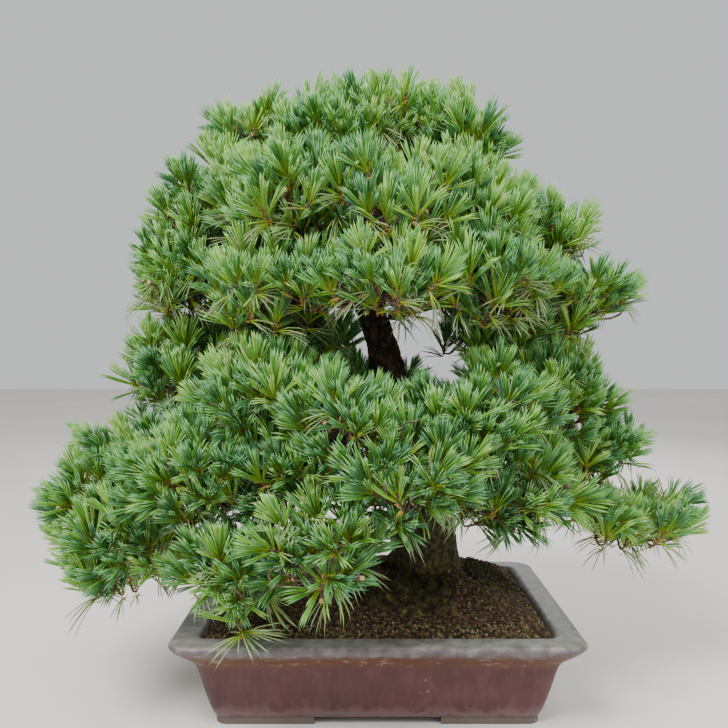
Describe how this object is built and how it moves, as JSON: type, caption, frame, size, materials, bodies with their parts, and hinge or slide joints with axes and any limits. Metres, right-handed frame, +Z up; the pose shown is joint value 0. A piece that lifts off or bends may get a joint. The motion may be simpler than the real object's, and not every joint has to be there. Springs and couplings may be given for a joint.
{
  "type": "bonsai tree in a pot",
  "caption": "Five-needle pine bonsai with a dense, tiered canopy of needle clumps on a thick tapering trunk, growing in soil in a shallow rectangular clay pot on corner feet.",
  "frame": {"origin": "on the surface that the pot stands on, under the middle of the pot, which is also the bottom centre of the whole object's box", "axes": "+Z up, +X along the pot's long side, the front of the tree faces -Y"},
  "size_m": [0.7624, 0.5047, 0.699],
  "materials": {
    "fired_clay": "matte",
    "soil": "matte",
    "grit": "matte",
    "screen_mesh": "matte",
    "clip_wire": "satin",
    "moss": "matte",
    "trunk_bark": "matte",
    "branch_bark": "matte",
    "pine_needles": "satin"
  },
  "bodies": {
    "root": {"pot": "fired_clay", "soil": "soil", "drainage_layer": "grit", "drain_screen_left": "screen_mesh", "screen_clip_left": "clip_wire", "drain_screen_right": "screen_mesh", "screen_clip_right": "clip_wire", "moss_front": "moss", "moss_left": "moss", "moss_right": "moss", "trunk": "trunk_bark", "branch_low_left": "branch_bark", "branch_low_front": "branch_bark", "branch_low_right": "branch_bark", "branch_centre_front": "branch_bark", "branch_low_back": "branch_bark", "branch_middle_left": "branch_bark", "branch_middle_front": "branch_bark", "branch_middle_right": "branch_bark", "branch_upper_left": "branch_bark", "branch_upper_front_left": "branch_bark", "branch_upper_right": "branch_bark", "branch_upper_front": "branch_bark", "branch_upper_back": "branch_bark", "branch_crown_left": "branch_bark", "branch_crown_right": "branch_bark", "foliage_crown_top": "pine_needles", "foliage_crown_left": "pine_needles", "foliage_crown_left_tip": "pine_needles", "foliage_crown_right": "pine_needles", "foliage_upper_back": "pine_needles", "foliage_upper_left_outer": "pine_needles", "foliage_upper_left_front": "pine_needles", "foliage_upper_front": "pine_needles", "foliage_upper_right_front": "pine_needles", "foliage_upper_left_tip": "pine_needles", "foliage_upper_back_left": "pine_needles", "foliage_upper_back_right": "pine_needles", "foliage_middle_front_left": "pine_needles", "foliage_middle_front": "pine_needles", "foliage_middle_front_right": "pine_needles", "foliage_upper_right_tip": "pine_needles", "foliage_middle_left": "pine_needles", "foliage_back_middle_left": "pine_needles", "foliage_back_middle_right": "pine_needles", "foliage_lower_left_upper": "pine_needles", "foliage_lower_centre_upper": "pine_needles", "foliage_lower_right_upper": "pine_needles", "foliage_middle_right": "pine_needles", "foliage_back_left": "pine_needles", "foliage_back_right": "pine_needles", "foliage_lower_left_front": "pine_needles", "foliage_lower_left_tip": "pine_needles", "foliage_lower_left_hanging": "pine_needles", "foliage_lower_front_hanging": "pine_needles", "foliage_lower_front": "pine_needles", "foliage_lower_centre": "pine_needles", "foliage_lower_right_front": "pine_needles", "foliage_lower_right_tip": "pine_needles"}
  },
  "joints": []
}
